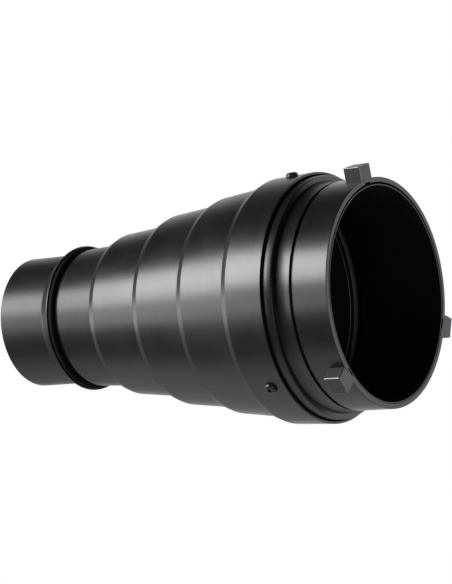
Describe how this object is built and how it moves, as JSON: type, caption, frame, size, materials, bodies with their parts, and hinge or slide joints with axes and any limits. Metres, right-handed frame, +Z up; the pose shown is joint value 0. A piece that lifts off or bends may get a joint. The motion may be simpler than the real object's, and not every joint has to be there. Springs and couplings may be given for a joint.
{
  "type": "snoot",
  "caption": "Stepped conical light snoot with a lugged bayonet collar and a push-on nose tube that holds a honeycomb grid.",
  "frame": {"origin": "on the optical axis, in the plane of the bayonet collar's rim", "axes": "+X along the optical axis, out of the bayonet towards the light; the nose points to -X; +Z up, through one lug"},
  "size_m": [0.2623, 0.1512, 0.1532],
  "materials": {
    "shell_black": "satin black, fine turning lines",
    "ring_black": "semi-matte black",
    "collar_black": "satin black, turned",
    "lug_grey": "semi-matte dark grey",
    "screw_black": "black oxide",
    "sleeve_black": "matte black",
    "spring_steel": "plain spring steel",
    "rubber_black": "matte",
    "felt_black": "felt",
    "nose_black": "satin black, turned",
    "grid_black": "matte black",
    "rivet_grey": "plain"
  },
  "bodies": {
    "cone": {"cone_shell": "shell_black", "mount_ring": "ring_black", "bayonet_collar": "collar_black", "bayonet_lug_1": "lug_grey", "bayonet_lug_2": "lug_grey", "bayonet_lug_3": "lug_grey", "lug_screws": "screw_black", "mount_screws": "screw_black", "inner_sleeve": "sleeve_black", "sleeve_retainer": "spring_steel", "front_ring": "ring_black", "rubber_ring": "rubber_black", "felt_band": "felt_black"},
    "nose": {"nose_tube": "nose_black"},
    "grid": {"grid_band": "grid_black", "grid_core": "grid_black", "grid_spring_1": "spring_steel", "grid_spring_2": "spring_steel", "grid_spring_3": "spring_steel", "grid_rivets": "rivet_grey"}
  },
  "joints": [
    {"name": "nose_slide", "type": "slide", "parent": "cone", "child": "nose", "axis": [-1, 0, 0], "range_m": [0, 0.045]},
    {"name": "grid_slide", "type": "slide", "parent": "nose", "child": "grid", "axis": [-1, 0, 0], "range_m": [0, 0.03]}
  ]
}
